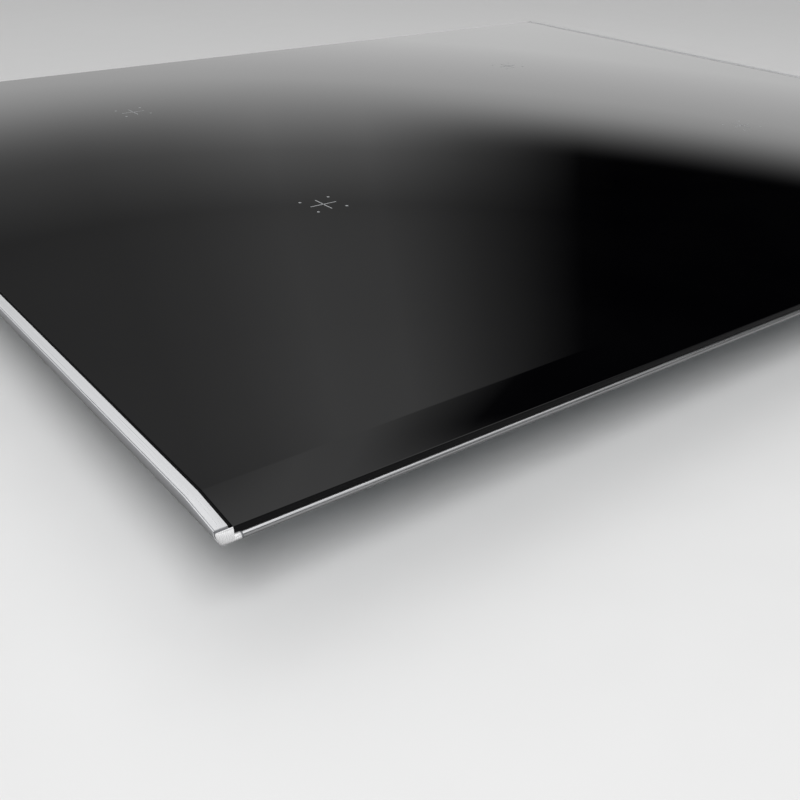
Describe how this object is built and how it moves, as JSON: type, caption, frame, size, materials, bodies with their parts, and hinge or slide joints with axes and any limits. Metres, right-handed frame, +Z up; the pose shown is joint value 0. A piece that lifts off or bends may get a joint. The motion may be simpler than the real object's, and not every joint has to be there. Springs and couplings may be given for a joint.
{
  "type": "built-in electric induction cooktop",
  "caption": "Built-in electric induction cooktop: a bevelled black glass plate in slim metal trims over a shallow sheet-metal housing with sprung coil units and a blower.",
  "frame": {"origin": "centre of the housing's underside, under the middle of the glass", "axes": "+Z up out of the worktop, +X along the front edge to the user's right, +Y from the front edge to the rear edge"},
  "size_m": [0.606, 0.527, 0.051],
  "materials": {
    "glass": "polished black glass-ceramic, opaque",
    "side_trim": "fine brushed, lengthwise",
    "end_trim": "polished",
    "corner_cap": "polished",
    "joint_gasket": "matt grey silicone",
    "sealant": "satin black silicone",
    "foam_seal": "matt foam tape",
    "sheet_steel": "galvanised, spangled",
    "aluminium_sheet": "mill finish",
    "heat_sink": "extruded",
    "copper": "varnished copper-clad litz",
    "carrier_plastic": "glass-filled, natural",
    "ferrite": "sintered",
    "mica": "pressed mica sheet",
    "sensor_silicone": "matt silicone",
    "spring_steel": "drawn wire",
    "black_plastic": "fine texture",
    "circuit_board": "solder resist",
    "component_black": "moulded epoxy",
    "component_blue": "moulded case",
    "terminal_plastic": "moulded polyamide",
    "zinc_steel": "bright zinc plated",
    "lead_insulation": "silicone sleeve"
  },
  "bodies": {
    "housing": {"glass_plate": "glass", "side_trim_left": "side_trim", "side_trim_right": "side_trim", "front_trim": "end_trim", "rear_trim": "end_trim", "corner_cap_front_left": "corner_cap", "corner_cap_front_right": "corner_cap", "corner_cap_rear_left": "corner_cap", "corner_cap_rear_right": "corner_cap", "joint_gaskets": "joint_gasket", "edge_sealant": "sealant", "worktop_seal": "foam_seal", "carrier_frame": "sheet_steel", "bonding_bead": "sealant", "housing_tray": "sheet_steel", "tray_screws": "zinc_steel", "shield_plate": "aluminium_sheet", "springs_front_left": "spring_steel", "springs_rear_left": "spring_steel", "springs_front_right": "spring_steel", "springs_rear_right": "spring_steel", "control_carrier": "black_plastic", "control_board": "circuit_board", "electronics_base": "black_plastic", "power_board": "circuit_board", "heat_sink": "heat_sink", "transistors": "component_black", "capacitors": "component_blue", "chokes": "copper", "fan_housing": "black_plastic", "terminal_box": "black_plastic", "terminal_block": "terminal_plastic", "clamp_screws": "zinc_steel", "wiring": "lead_insulation"},
    "coil_unit_front_left": {"winding_front_left": "copper", "coil_carrier_front_left": "carrier_plastic", "ferrites_front_left": "ferrite", "mica_front_left": "mica", "pan_sensor_front_left": "sensor_silicone"},
    "swivel_clamp_front_left": {"clamp_front_left": "zinc_steel"},
    "coil_unit_rear_left": {"winding_rear_left": "copper", "coil_carrier_rear_left": "carrier_plastic", "ferrites_rear_left": "ferrite", "mica_rear_left": "mica", "pan_sensor_rear_left": "sensor_silicone"},
    "swivel_clamp_rear_left": {"clamp_rear_left": "zinc_steel"},
    "coil_unit_front_right": {"winding_front_right": "copper", "coil_carrier_front_right": "carrier_plastic", "ferrites_front_right": "ferrite", "mica_front_right": "mica", "pan_sensor_front_right": "sensor_silicone"},
    "swivel_clamp_front_right": {"clamp_front_right": "zinc_steel"},
    "coil_unit_rear_right": {"winding_rear_right": "copper", "coil_carrier_rear_right": "carrier_plastic", "ferrites_rear_right": "ferrite", "mica_rear_right": "mica", "pan_sensor_rear_right": "sensor_silicone"},
    "swivel_clamp_rear_right": {"clamp_rear_right": "zinc_steel"},
    "blower_wheel": {"fan_rotor": "black_plastic"},
    "mains_lid": {"terminal_lid": "black_plastic"}
  },
  "joints": [
    {"name": "coil_float_front_left", "type": "slide", "parent": "housing", "child": "coil_unit_front_left", "axis": [0, 0, 1], "range_m": [-0.0015, 0], "stiffness_N_per_m": 6000, "springref_m": 0.003, "deforming": ["springs_front_left"]},
    {"name": "coil_float_rear_left", "type": "slide", "parent": "housing", "child": "coil_unit_rear_left", "axis": [0, 0, 1], "range_m": [-0.0015, 0], "stiffness_N_per_m": 6000, "springref_m": 0.003, "deforming": ["springs_rear_left"]},
    {"name": "coil_float_front_right", "type": "slide", "parent": "housing", "child": "coil_unit_front_right", "axis": [0, 0, 1], "range_m": [-0.0015, 0], "stiffness_N_per_m": 6000, "springref_m": 0.003, "deforming": ["springs_front_right"]},
    {"name": "coil_float_rear_right", "type": "slide", "parent": "housing", "child": "coil_unit_rear_right", "axis": [0, 0, 1], "range_m": [-0.0015, 0], "stiffness_N_per_m": 6000, "springref_m": 0.003, "deforming": ["springs_rear_right"]},
    {"name": "clamp_swing_front_left", "type": "hinge", "parent": "housing", "child": "swivel_clamp_front_left", "pos_m": [-0.2655, -0.12, 0.01], "axis": [0, 0, 1], "range_deg": [0, 90]},
    {"name": "clamp_swing_rear_left", "type": "hinge", "parent": "housing", "child": "swivel_clamp_rear_left", "pos_m": [-0.2655, 0.12, 0.01], "axis": [0, 0, 1], "range_deg": [0, 90]},
    {"name": "clamp_swing_front_right", "type": "hinge", "parent": "housing", "child": "swivel_clamp_front_right", "pos_m": [0.2655, -0.12, 0.01], "axis": [0, 0, 1], "range_deg": [0, 90]},
    {"name": "clamp_swing_rear_right", "type": "hinge", "parent": "housing", "child": "swivel_clamp_rear_right", "pos_m": [0.2655, 0.12, 0.01], "axis": [0, 0, 1], "range_deg": [0, 90]},
    {"name": "blower_spin", "type": "hinge", "parent": "housing", "child": "blower_wheel", "pos_m": [-0.179, 0.132, 0.01], "axis": [0, 0, 1], "continuous": true},
    {"name": "mains_lid_swing", "type": "hinge", "parent": "housing", "child": "mains_lid", "pos_m": [0.157, 0.2016, 0.005], "axis": [-1, 0, 0], "range_deg": [0, 90]}
  ]
}
